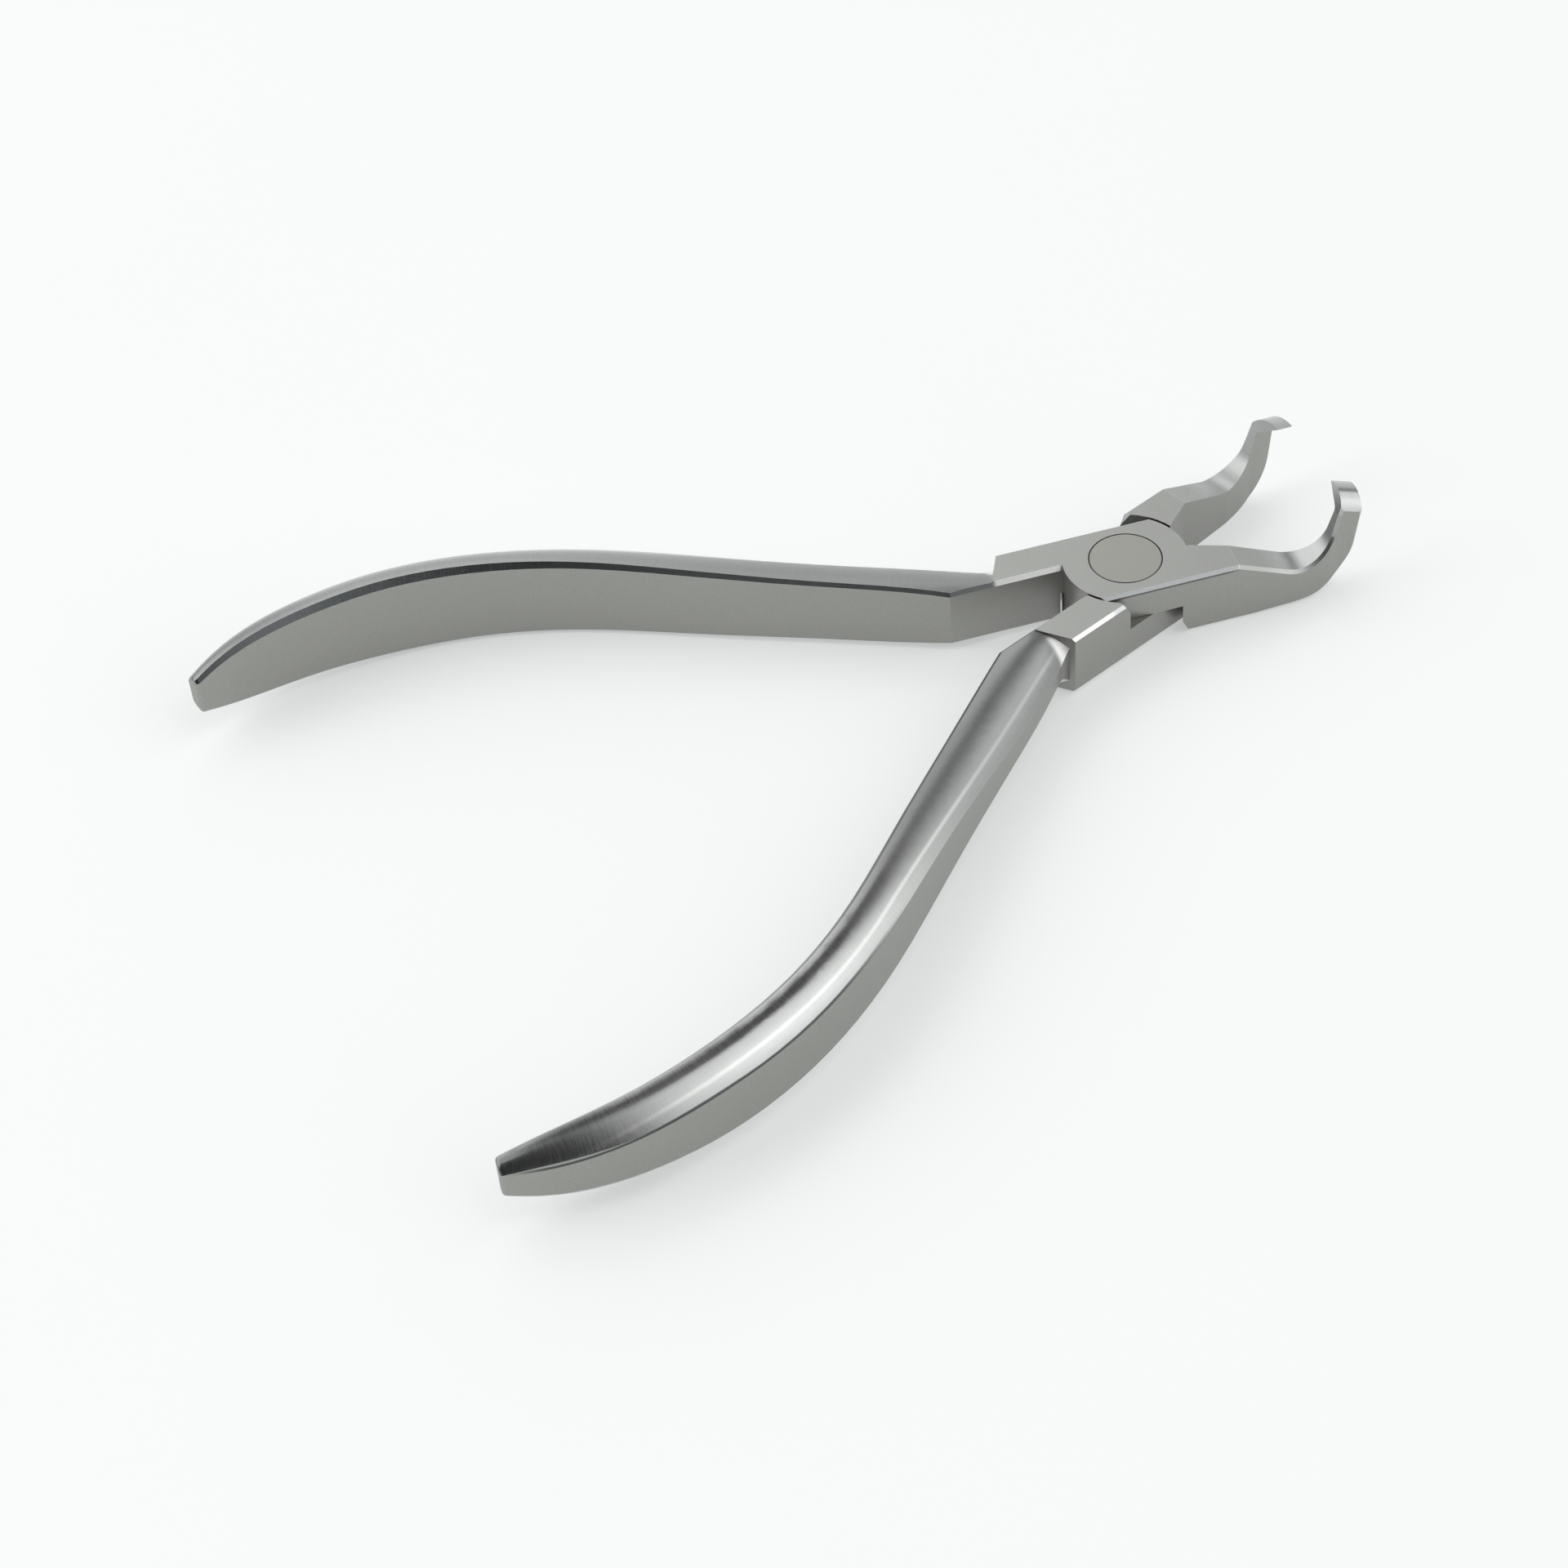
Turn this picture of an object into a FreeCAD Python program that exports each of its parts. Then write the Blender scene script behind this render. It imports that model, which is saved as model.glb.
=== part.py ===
"""All-steel lap-joint pliers with up-turned chisel jaws: two forged halves and one pivot rivet.

Frame: origin on the pivot axis at the joint's flat underside, +Z up, +X towards the jaws,
the handles towards -X. Each half is drawn with the tool closed, when its jaw edge lies on the
X axis, and its Placement then opens it by half of the jaw opening.
"""
import FreeCAD, Part

import math
import os

import Sketcher

doc = FreeCAD.newDocument("lap_joint_pliers")

# ---------------------------------------------------------------- driving dimensions (mm, degrees)
DIMENSIONS = [
    ("open_angle", 12.4, "each half's turn from closed to the resting pose"),
    ("joint_height", 7.6, "thickness of the whole joint"),
    ("plate_gap", 0.04, "running gap between the two joint plates"),
    ("joint_half_width", 5.5, "pivot axis to the flat side of the joint"),
    ("plate_radius", 6.9, "rounded ends of the joint plates"),
    ("shoulder_radius", 7.2, "hollow shoulders that face the other half's plate"),
    ("block_inner", 0.95, "closed centre plane to the inner face of the handle block"),
    ("block_length", 12.9, "pivot axis to the end of the handle block's outer face"),
    ("bend_distance", 19.65, "pivot axis to the bend where the bow handle leaves the block"),
    ("handle_slope", 24.85, "angle of the straight handle run when closed"),
    ("handle_run", 38.25, "straight run of the handle from the bend to the bow"),
    ("bow_radius", 53.4, "inner face of the bow"),
    ("jaw_root_end", 10.0, "pivot axis to the end of the jaw root, which is as thick as the joint"),
    ("jaw_profile_start", 8.0, "pivot axis to the rear end of the jaw's side profile"),
    ("jaw_crease", 11.05, "pivot axis to the crease where the jaw starts to dip"),
    ("jaw_root", 0.35, "closed centre plane to the jaw's inner face at the shoulder"),
    ("jaw_inner_root", 1.85, "closed centre plane to the jaw's inner face at the crease"),
    ("jaw_inner_mid", 2.1, "the same where the jaw starts to turn up"),
    ("jaw_inner_tip", 2.7, "the same at the tip"),
    ("jaw_mid", 18.0, "pivot axis to the place where the inner face turns outwards"),
    ("jaw_tip_start", 22.2, "pivot axis to the start of the tip"),
    ("jaw_tip_outer", 3.85, "closed centre plane to the outer face of the tip"),
    ("jaw_waist_radius", 11.2, "plan radius where the outer face runs in to the tip"),
    ("jaw_waist_turn", 27.0, "angle of that run-in"),
    ("jaw_waist_start", 17.45, "pivot axis to the start of the run-in"),
    ("jaw_neck_radius", 4.0, "plan radius that ends the run-in"),
    ("jaw_dip", 23.3, "downward slope of the jaw's top after the crease"),
    ("jaw_upturn", 72.0, "slope of the jaw's rear face when turned up"),
    ("jaw_throat_radius", 4.05, "radius between the dip and the upturn"),
    ("jaw_throat_corner", 20.91, "pivot axis to the corner of those two slopes"),
    ("jaw_flat_end", 13.0, "pivot axis to the end of the jaw's flat underside"),
    ("jaw_belly_radius", 6.0, "radius under the jaw"),
    ("jaw_belly_centre", 19.2, "pivot axis to the centre of that radius"),
    ("jaw_belly_rise", 3.0, "slope of the underside before that radius"),
    ("jaw_front_slope", 81.5, "slope of the jaw's front face"),
    ("lip_edge_distance", 25.15, "pivot axis to the middle of the biting edge"),
    ("lip_edge_height", 3.5, "joint's top face up to the middle of the biting edge"),
    ("lip_tilt", 20.0, "forward and downward slope of the biting edge"),
    ("lip_drop", 1.2, "biting edge down to the crease on the outer face of the lip"),
    ("lip_radius", 3.0, "polished back of the lip"),
    ("lip_under_slope", 31.8, "slope of the lip's underside"),
    ("lip_root_radius", 0.8, "hollow at the root of the lip"),
    ("lip_under_depth", 3.4, "biting edge down to the end of the cut under the lip"),
    ("inner_cut_rise", 1.5, "joint's top face up to the top of the jaw's inner face"),
    ("rivet_head_radius", 4.0, "flush rivet head"),
    ("rivet_head_height", 1.8, "thickness of the head"),
    ("rivet_shank_radius", 2.5, "rivet shank"),
    ("rivet_flare_radius", 3.3, "peened end in the lower half's countersink"),
    ("rivet_flare_height", 0.8, "depth of that countersink"),
    ("rivet_clearance", 0.05, "radial running clearance of the upper half on the rivet"),
    ("rivet_rim_break", 0.08, "broken rim of the rivet head, which shows as a fine seam"),
    ("edge_chamfer", 0.35, "broken upper edges along the flat sides"),
    ("foot_chamfer", 0.25, "broken lower edges along the flat sides"),
    ("block_chamfer", 0.45, "broken inner edges of the handle block"),
    ("corner_bevel_run", 0.8, "bevel on the corners of the shoulders, along the tool"),
    ("corner_bevel_rise", 1.6, "the same, up the tool"),
    ("plate_relief", 1.2, "relief around the rim of the joint plate at the parting plane"),
    ("relief_sweep", 90.0, "angle of that relief from the jaw root or the handle block"),
    ("relief_reach", 0.2, "how far the relief runs past the rim"),
    ("tail_radius", 0.5, "rounded rim of the handle's end"),
    ("stock_height", 3.0, "forging stock above the biting edge, cut away with the lip"),
    ("stock_reach", 30.0, "pivot axis to the far end of the cuts around the jaw"),
    ("cut_margin", 2.0, "how far a cut runs past the surface that it removes"),
]

# Handle sections, square to the handle's inner face: distance along the inner face from the bend,
# half height, thickness, half height of the flat outer side, offset of the crown, chamfer width
# and chamfer height.
SECTIONS = [
    ("neck", -5.2, 3.7, 6.7, 3.5, 1.0, 0.27, 0.28),
    ("flare", -3.8, 3.72, 6.15, 1.9, 2.0, 0.3, 0.3),
    ("root", -2.6, 3.78, 5.95, 0.9, 2.2, 0.32, 0.33),
    ("bend", 0.8, 3.95, 6.1, 0.9, 1.7, 0.35, 0.35),
    ("shank", 14.0, 4.25, 5.6, 1.7, 1.0, 0.38, 0.38),
    ("middle", 28.0, 4.68, 5.0, 2.75, 0.6, 0.45, 0.45),
    ("shoulder", 41.0, 5.04, 4.65, 3.1, 0.6, 0.52, 0.53),
    ("bow", 53.0, 5.3, 4.6, 3.15, 0.7, 0.62, 0.63),
    ("palm", 64.0, 5.3, 4.5, 3.1, 0.7, 0.67, 0.68),
    ("heel", 70.5, 4.92, 4.3, 2.75, 0.7, 0.65, 0.65),
    ("taper", 76.5, 4.45, 3.7, 2.5, 0.65, 0.58, 0.6),
    ("tail", 81.5, 3.55, 2.8, 2.1, 0.55, 0.48, 0.5),
    ("end", 85.2, 2.3, 2.0, 1.4, 0.45, 0.38, 0.42),
]
SECTION_FIELDS = ["station", "half_height", "thickness", "side", "crown", "chamfer", "chamfer_height"]

POINT_TOLERANCE = 1e-3
SMALLEST_CUT = 1e-6

sheet = doc.addObject("Spreadsheet::Sheet", "dims")


def fill_sheet():
    """Write every driving dimension as one row: name, value, meaning."""
    rows = list(DIMENSIONS)
    for name, *values in SECTIONS:
        for field, value in zip(SECTION_FIELDS, values):
            rows.append((f"{name}_{field}", value, f"handle section {name}"))
    for row, (alias, value, meaning) in enumerate(rows, start=1):
        sheet.set(f"A{row}", alias)
        sheet.set(f"B{row}", str(value))
        sheet.set(f"C{row}", meaning)
        sheet.setAlias(f"B{row}", alias)
    doc.recompute()


fill_sheet()
probe = doc.addObject("Part::Vertex", "probe")


def cells(expression):
    """Put the sheet's name before every dimension that an expression uses."""
    words = []
    word = ""
    for character in expression + " ":
        if character.isalnum() or character in "_.":
            word += character
            continue
        if word:
            words.append(f"dims.{word}" if hasattr(sheet, word) and "_" in word else word)
            word = ""
        words.append(character)
    return "".join(words).strip()


def number(expression):
    """Value of an expression of the sheet's dimensions."""
    probe.setExpression("X", cells(expression))
    probe.recompute()
    return float(probe.X.Value)


def role_plane(body, role):
    """Origin plane of a body, found by its role."""
    return next(item for item in body.Origin.OriginFeatures if item.Role == role)


def make_body(label):
    body = doc.addObject("PartDesign::Body", label)
    body.Label = label
    return body


def new_sketch(body, name, role, offset=None):
    """Empty sketch on one of the body's origin planes, moved by an offset in the plane's own axes."""
    sketch = body.newObject("Sketcher::SketchObject", name)
    sketch.AttachmentSupport = [(role_plane(body, role), "")]
    sketch.MapMode = "FlatFace"
    if offset is not None:
        sketch.AttachmentOffset = offset
    return sketch


def bind(sketch, kind, geometry, point, expression):
    """Dimension a point from the sketch's origin, or a radius, with a sheet expression."""
    value = number(expression)
    if kind == "Radius":
        index = sketch.addConstraint(Sketcher.Constraint("Radius", geometry, value))
    else:
        index = sketch.addConstraint(Sketcher.Constraint(kind, -1, 1, geometry, point, value))
    sketch.setExpression(f"Constraints[{index}]", cells(expression))


def outline(sketch, corners, side=1):
    """Closed profile. A corner is (x, y) or (x, y, radius, turn), as sheet expressions.

    The last two make the edge to the next corner an arc: turn 1 keeps its centre on the left.
    side -1 mirrors the profile's second coordinate and side 1 keeps it.
    """
    places = []
    for corner in corners:
        across = corner[1] if side > 0 else f"-({corner[1]})"
        places.append((corner[0], across))
    points = [FreeCAD.Vector(number(x), number(y), 0) for x, y in places]
    ends = []
    for index, corner in enumerate(corners):
        start = points[index]
        finish = points[(index + 1) % len(points)]
        if len(corner) == 2:
            geometry = sketch.addGeometry(Part.LineSegment(start, finish), False)
            ends.append((geometry, 1, 2))
            continue
        turn = corner[3] * side
        geometry = sketch.addGeometry(arc_between(start, finish, number(corner[2]), turn), False)
        bind(sketch, "Radius", geometry, None, corner[2])
        ends.append((geometry, 1, 2) if turn > 0 else (geometry, 2, 1))
    for index, (geometry, first, last) in enumerate(ends):
        following = ends[(index + 1) % len(ends)]
        sketch.addConstraint(Sketcher.Constraint("Coincident", geometry, last, following[0], following[1]))
        bind(sketch, "DistanceX", geometry, first, places[index][0])
        bind(sketch, "DistanceY", geometry, first, places[index][1])


def arc_between(start, finish, radius, turn):
    """Minor arc from start to finish, centre on the left when turn is 1 and on the right when -1."""
    chord = finish - start
    left = FreeCAD.Vector(-chord.y, chord.x, 0) / chord.Length
    height = math.sqrt(max(radius ** 2 - (chord.Length / 2) ** 2, 0))
    centre = (start + finish) / 2 + left * height * turn
    first, last = (start, finish) if turn > 0 else (finish, start)
    from_angle = math.atan2(first.y - centre.y, first.x - centre.x)
    to_angle = math.atan2(last.y - centre.y, last.x - centre.x)
    circle = Part.Circle(centre, FreeCAD.Vector(0, 0, 1), radius)
    return Part.ArcOfCircle(circle, from_angle, to_angle)


def circle_sketch(body, name, radius, height):
    """Circle about the pivot axis, in a plane at the given height."""
    sketch = new_sketch(body, name, "XY_Plane")
    sketch.setExpression("AttachmentOffset.Base.z", cells(height))
    circle = Part.Circle(FreeCAD.Vector(0, 0, 0), FreeCAD.Vector(0, 0, 1), number(radius))
    geometry = sketch.addGeometry(circle, False)
    sketch.addConstraint(Sketcher.Constraint("Coincident", geometry, 3, -1, 1))
    bind(sketch, "Radius", geometry, None, radius)
    return sketch


def pad(body, sketch, name, length, both=False, backwards=False):
    feature = body.newObject("PartDesign::Pad", name)
    feature.Profile = sketch
    feature.setExpression("Length", cells(length))
    feature.Midplane = both
    feature.Reversed = backwards
    sketch.Visibility = False
    doc.recompute()
    return feature


def pocket(body, sketch, name, length=None, upwards=False):
    """Cut away a profile: through everything both ways, or to a length down or up."""
    before = body.Shape.Volume
    feature = body.newObject("PartDesign::Pocket", name)
    feature.Profile = sketch
    if length is None:
        feature.Type = "ThroughAll"
        feature.Midplane = True
    else:
        feature.setExpression("Length", cells(length))
        feature.Reversed = upwards
    doc.recompute()
    if not body.Shape.Volume < before - SMALLEST_CUT:
        raise RuntimeError(f"{name} cuts nothing")
    return feature


def lies_on(edge, axis, value):
    """True for an edge whose ends share one coordinate."""
    return all(abs(getattr(vertex.Point, axis) - value) < POINT_TOLERANCE for vertex in edge.Vertexes)


def break_edges(body, name, kind, size, wanted):
    """Chamfer or fillet on the edges of the body's present shape that a test picks."""
    before = body.Shape.Volume
    picked = [f"Edge{index}" for index, edge in enumerate(body.Shape.Edges, start=1) if wanted(edge)]
    base = body.Tip
    feature = body.newObject(f"PartDesign::{kind}", name)
    feature.Base = (base, picked)
    feature.setExpression("Size" if kind == "Chamfer" else "Radius", cells(size))
    doc.recompute()
    if not body.Shape.isValid() or not body.Shape.Volume < before:
        raise RuntimeError(f"{name} breaks no edge")


# ---------------------------------------------------------------- joint

def joint_blank(body, side):
    """Full-thickness blank of the handle block, the joint and the jaw root."""
    plate_end = "sqrt(plate_radius ^ 2 - joint_half_width ^ 2)"
    nose = "sqrt(plate_radius ^ 2 - block_inner ^ 2)"
    crest = "sqrt(plate_radius ^ 2 - jaw_root ^ 2)"
    sketch = new_sketch(body, f"{body.Name}_blank", "XY_Plane")
    corners = [
        (f"-{nose}", "block_inner", "plate_radius", 1),
        (f"-{plate_end}", "-joint_half_width"),
        ("jaw_root_end", "-joint_half_width"),
        ("jaw_root_end", "-jaw_root"),
        (crest, "-jaw_root", "plate_radius", 1),
        (plate_end, "joint_half_width"),
        ("-block_length", "joint_half_width"),
        ("-block_length - (joint_half_width - block_inner) * tan(handle_slope)", "block_inner"),
    ]
    outline(sketch, corners, side)
    pad(body, sketch, f"{body.Name}_joint", "joint_height")


def lap_recess(body, upper):
    """Round recess that leaves half the thickness as the joint plate and makes both shoulders."""
    depth = "(joint_height + plate_gap) / 2"
    height = "0" if upper else "joint_height"
    sketch = circle_sketch(body, f"{body.Name}_lap", "shoulder_radius", height)
    pocket(body, sketch, f"{body.Name}_lap_recess", depth, upwards=upper)


def joint_breaks(body, side, upper):
    """Bevelled shoulder corners and broken inner edges of the handle block."""
    top, inner = float(sheet.joint_height), float(sheet.block_inner)
    wide, reach = float(sheet.joint_half_width), float(sheet.shoulder_radius)
    corner = "sqrt(shoulder_radius ^ 2 - joint_half_width ^ 2)"
    for end, name in ((1, "jaw_corner"), (-1, "handle_corner")):
        sketch = new_sketch(body, f"{body.Name}_{name}", "XZ_Plane")
        face = "0" if upper else "joint_height"
        deep = "corner_bevel_rise" if upper else "joint_height - corner_bevel_rise"
        clear = "-cut_margin" if upper else "joint_height + cut_margin"
        corners = [
            (f"{end} * ({corner} - corner_bevel_run)", clear),
            (f"{end} * ({corner} - corner_bevel_run)", deep),
            (f"{end} * {corner}", deep),
            (f"{end} * ({corner} + corner_bevel_run)", face),
            (f"{end} * ({corner} + corner_bevel_run)", clear),
        ]
        outline(sketch, corners)
        pocket(body, sketch, f"{body.Name}_{name}_bevel")

    def block_rim(edge):
        xs = [vertex.Point.x for vertex in edge.Vertexes]
        return lies_on(edge, "y", side * inner) and (lies_on(edge, "z", 0) or lies_on(edge, "z", top)) \
            and max(xs) < -wide and max(xs) - min(xs) > reach / 2

    break_edges(body, f"{body.Name}_block_break", "Chamfer", "block_chamfer", block_rim)


def plate_relief(body, side, upper):
    """Conical relief under the free rims of the joint plate, at the parting plane."""
    parting = "(joint_height + plate_gap) / 2" if upper else "(joint_height - plate_gap) / 2"
    away = "+" if upper else "-"
    starts = (
        ("near", "180 - asin(block_inner / plate_radius)"),
        ("far", "-asin(jaw_root / plate_radius)"),
    )
    for name, start in starts:
        middle = side * number(f"{start} + relief_sweep / 2")
        turn = FreeCAD.Placement(FreeCAD.Vector(0, 0, 0), FreeCAD.Rotation(FreeCAD.Vector(0, 1, 0), middle))
        sketch = new_sketch(body, f"{body.Name}_{name}_relief", "XZ_Plane", turn)
        corners = [
            ("plate_radius - plate_relief", parting),
            ("plate_radius + relief_reach", parting),
            ("plate_radius + relief_reach", f"{parting} {away} (plate_relief + relief_reach)"),
        ]
        outline(sketch, corners)
        before = body.Shape.Volume
        groove = body.newObject("PartDesign::Groove", f"{body.Name}_{name}_rim")
        groove.Profile = sketch
        groove.ReferenceAxis = (sketch, ["V_Axis"])
        groove.Midplane = True
        groove.setExpression("Angle", cells("relief_sweep"))
        doc.recompute()
        if not body.Shape.Volume < before - SMALLEST_CUT:
            raise RuntimeError(f"{name} relief cuts nothing")


# ---------------------------------------------------------------- jaw
def throat():
    """Tangent points of the radius between the jaw's dip and its upturn."""
    reach = "jaw_throat_radius * tan((jaw_dip + jaw_upturn) / 2)"
    drop = "(jaw_throat_corner - jaw_crease) * tan(jaw_dip)"
    dip_x = f"jaw_throat_corner - {reach} * cos(jaw_dip)"
    dip_z = f"joint_height - {drop} + {reach} * sin(jaw_dip)"
    rise_x = f"jaw_throat_corner + {reach} * cos(jaw_upturn)"
    rise_z = f"joint_height - {drop} + {reach} * sin(jaw_upturn)"
    top_x = f"jaw_throat_corner + ({drop} + lip_edge_height + stock_height) / tan(jaw_upturn)"
    return dip_x, dip_z, rise_x, rise_z, top_x


def jaw_blank(body, side):
    """Side profile of the jaw, as wide as from the joint's flat side to the centre plane."""
    dip_x, dip_z, rise_x, rise_z, top_x = throat()
    belly_run = "(jaw_belly_centre - jaw_flat_end)"
    belly_z = f"jaw_belly_radius * cos(jaw_belly_rise) + {belly_run} * tan(jaw_belly_rise)"
    front_x = "jaw_belly_centre + jaw_belly_radius * sin(jaw_front_slope)"
    front_z = f"{belly_z} - jaw_belly_radius * cos(jaw_front_slope)"
    top_z = "joint_height + lip_edge_height + stock_height"
    front_top = f"{front_x} + ({top_z} - ({front_z})) / tan(jaw_front_slope)"
    belly_x = "jaw_belly_centre + jaw_belly_radius * sin(jaw_belly_rise)"
    sketch = new_sketch(body, f"{body.Name}_jaw_profile", "XZ_Plane")
    corners = [
        ("jaw_profile_start", "joint_height"),
        ("jaw_profile_start", "0"),
        ("jaw_flat_end", "0"),
        (belly_x, f"{belly_z} - jaw_belly_radius * cos(jaw_belly_rise)", "jaw_belly_radius", 1),
        (front_x, front_z),
        (front_top, top_z),
        (top_x, top_z),
        (rise_x, rise_z, "jaw_throat_radius", -1),
        (dip_x, dip_z),
        ("jaw_crease", "joint_height"),
    ]
    outline(sketch, corners)
    pad(body, sketch, f"{body.Name}_jaw_blank", "joint_half_width", backwards=side < 0)


def jaw_outer_cut(body, side):
    """The outer face runs in to the narrow tip."""
    run_in = "jaw_waist_radius * sin(jaw_waist_turn)"
    rise = "jaw_waist_radius * (1 - cos(jaw_waist_turn))"
    sketch = new_sketch(body, f"{body.Name}_jaw_outer", "XY_Plane")
    corners = [
        ("jaw_waist_start", "-joint_half_width", "jaw_waist_radius", 1),
        (f"jaw_waist_start + {run_in}", f"-joint_half_width + {rise}", "jaw_neck_radius", -1),
        (f"jaw_waist_start + {run_in} + jaw_neck_radius * sin(jaw_waist_turn)",
         f"-joint_half_width + {rise} + jaw_neck_radius * (1 - cos(jaw_waist_turn))"),
        ("stock_reach", "-jaw_tip_outer"),
        ("stock_reach", "-joint_half_width - cut_margin"),
        ("jaw_waist_start", "-joint_half_width - cut_margin"),
    ]
    outline(sketch, corners, side)
    pocket(body, sketch, f"{body.Name}_jaw_waist")


def outer_edges(body, side):
    """Broken edges along the flat sides of the joint and the jaw, above and below."""
    top, wide = float(sheet.joint_height), float(sheet.joint_half_width)
    crease, waist = float(sheet.jaw_crease), float(sheet.jaw_waist_start)

    def jaw_top(edge):
        xs = [vertex.Point.x for vertex in edge.Vertexes]
        return lies_on(edge, "y", -side * wide) and crease - POINT_TOLERANCE < min(xs) and max(xs) < waist \
            and max(vertex.Point.z for vertex in edge.Vertexes) > top - POINT_TOLERANCE

    def flat_side(edge):
        return lies_on(edge, "y", wide) or lies_on(edge, "y", -wide)

    def above(edge):
        return jaw_top(edge) or (lies_on(edge, "z", top) and flat_side(edge))

    def below(edge):
        return lies_on(edge, "z", 0) and flat_side(edge)

    break_edges(body, f"{body.Name}_top_break", "Chamfer", "edge_chamfer", above)
    break_edges(body, f"{body.Name}_foot_break", "Chamfer", "foot_chamfer", below)


def jaw_inner_cut(body, side):
    """The inner face, from the joint to just under the lip."""
    sketch = new_sketch(body, f"{body.Name}_jaw_inner", "XY_Plane")
    sketch.setExpression("AttachmentOffset.Base.z", cells("joint_height + inner_cut_rise"))
    corners = [
        ("sqrt(shoulder_radius ^ 2 - jaw_root ^ 2)", "-jaw_root"),
        ("jaw_crease", "-jaw_inner_root"),
        ("jaw_mid", "-jaw_inner_mid"),
        ("jaw_tip_start", "-jaw_inner_tip"),
        ("stock_reach", "-jaw_inner_tip"),
        ("stock_reach", "cut_margin"),
        ("sqrt(shoulder_radius ^ 2 - jaw_root ^ 2)", "cut_margin"),
    ]
    outline(sketch, corners, side)
    pocket(body, sketch, f"{body.Name}_jaw_inner_face", "joint_height + 2 * inner_cut_rise")


def lip_cuts(body, side):
    """The lip's polished back and its underside, cut along the biting edge."""
    tilt = FreeCAD.Rotation(FreeCAD.Vector(1, 0, 0), sheet.lip_tilt)
    offset = FreeCAD.Placement(FreeCAD.Vector(0, 0, 0), tilt)
    reach = "lip_root_radius * tan((90 - lip_under_slope) / 2)"
    corner_z = "-jaw_inner_tip * tan(lip_under_slope)"
    under = [
        ("0", "0"),
        (f"-jaw_inner_tip + {reach} * cos(lip_under_slope)",
         f"{corner_z} + {reach} * sin(lip_under_slope)", "lip_root_radius", 1),
        ("-jaw_inner_tip", f"{corner_z} - {reach}"),
        ("-jaw_inner_tip", "-lip_under_depth"),
        ("cut_margin", "-lip_under_depth"),
        ("cut_margin", "0"),
    ]
    back = [
        ("0", "0"),
        ("cut_margin", "0"),
        ("cut_margin", "2 * stock_height"),
        ("-joint_half_width - cut_margin", "2 * stock_height"),
        ("-joint_half_width - cut_margin", "-lip_drop"),
        ("-jaw_tip_outer", "-lip_drop", "lip_radius", -1),
    ]
    for name, corners in (("lip_underside", under), ("lip_back", back)):
        swapped = [(f"{side} * ({corner[0]})", *corner[1:]) for corner in corners]
        sketch = new_sketch(body, f"{body.Name}_{name}", "YZ_Plane", offset)
        sketch.setExpression("AttachmentOffset.Base.y", cells("joint_height + lip_edge_height"))
        sketch.setExpression("AttachmentOffset.Base.z", cells("lip_edge_distance"))
        flipped = [(*corner[:3], corner[3] * side) if len(corner) > 2 else corner for corner in swapped]
        outline(sketch, flipped)
        pocket(body, sketch, f"{body.Name}_{name}_cut")


# ---------------------------------------------------------------- handle
def handle_point(station):
    """Point on the handle's inner face and the direction across the handle, with the tool closed."""
    slope = math.radians(sheet.handle_slope)
    along = min(station, sheet.handle_run)
    x = -sheet.bend_distance - along * math.cos(slope)
    y = sheet.block_inner + along * math.sin(slope)
    turned = max(station - sheet.handle_run, 0) / sheet.bow_radius
    x -= sheet.bow_radius * (math.sin(slope) - math.sin(slope - turned))
    y += sheet.bow_radius * (math.cos(slope - turned) - math.cos(slope))
    return x, y, 90 - math.degrees(slope - turned)


def section_sketch(body, name, side):
    """D-shaped section: flat inner face, chamfers, crowned top and bottom, flat outer side."""
    x, y, across = handle_point(getattr(sheet, f"{name}_station"))
    turn = FreeCAD.Rotation(FreeCAD.Vector(0, 1, 0), side * across - 90)
    base = FreeCAD.Vector(side * y, sheet.joint_height / 2, x)
    sketch = new_sketch(body, f"{body.Name}_{name}", "YZ_Plane", FreeCAD.Placement(base, turn))
    half, side_half = f"{name}_half_height", f"{name}_side"
    width, crown = f"{name}_thickness", f"{name}_crown"
    chamfer, chamfer_height = f"{name}_chamfer", f"{name}_chamfer_height"
    radius = f"((({width} - {crown}) ^ 2 + ({half} - {side_half}) ^ 2) / (2 * ({half} - {side_half})))"
    shoulder = f"({half} - {radius} + sqrt({radius} ^ 2 - ({crown} - {chamfer}) ^ 2))"
    corners = [
        ("0", f"-({shoulder} - {chamfer_height})"),
        (chamfer, f"-{shoulder}", radius, 1),
        (width, f"-{side_half}"),
        (width, side_half, radius, 1),
        (chamfer, shoulder),
        ("0", f"{shoulder} - {chamfer_height}"),
    ]
    outline(sketch, corners)
    return sketch


def bow_handle(body, side):
    """Loft through the sections, then the block's inner face is cut flat through it."""
    sketches = [section_sketch(body, row[0], side) for row in SECTIONS]
    for name, group in (("neck_loft", sketches[:3]), ("bow_loft", sketches[2:])):
        loft = body.newObject("PartDesign::AdditiveLoft", f"{body.Name}_{name}")
        loft.Profile = group[0]
        loft.Sections = group[1:]
        doc.recompute()
    sketch = new_sketch(body, f"{body.Name}_inner", "XY_Plane")
    corners = [
        ("-bend_distance", "block_inner"),
        ("-bend_distance", "-joint_half_width - cut_margin"),
        ("-shoulder_radius - corner_bevel_run", "-joint_half_width - cut_margin"),
        ("-shoulder_radius - corner_bevel_run", "block_inner"),
    ]
    outline(sketch, corners, side)
    pocket(body, sketch, f"{body.Name}_inner_face")


def tail_end(body):
    """Rounded rim of the handle's end."""
    x = handle_point(sheet.end_station)[0]

    def end_rim(edge):
        return all(abs(vertex.Point.x - x) < sheet.end_thickness for vertex in edge.Vertexes)

    break_edges(body, f"{body.Name}_tail_round", "Fillet", "tail_radius", end_rim)


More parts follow.
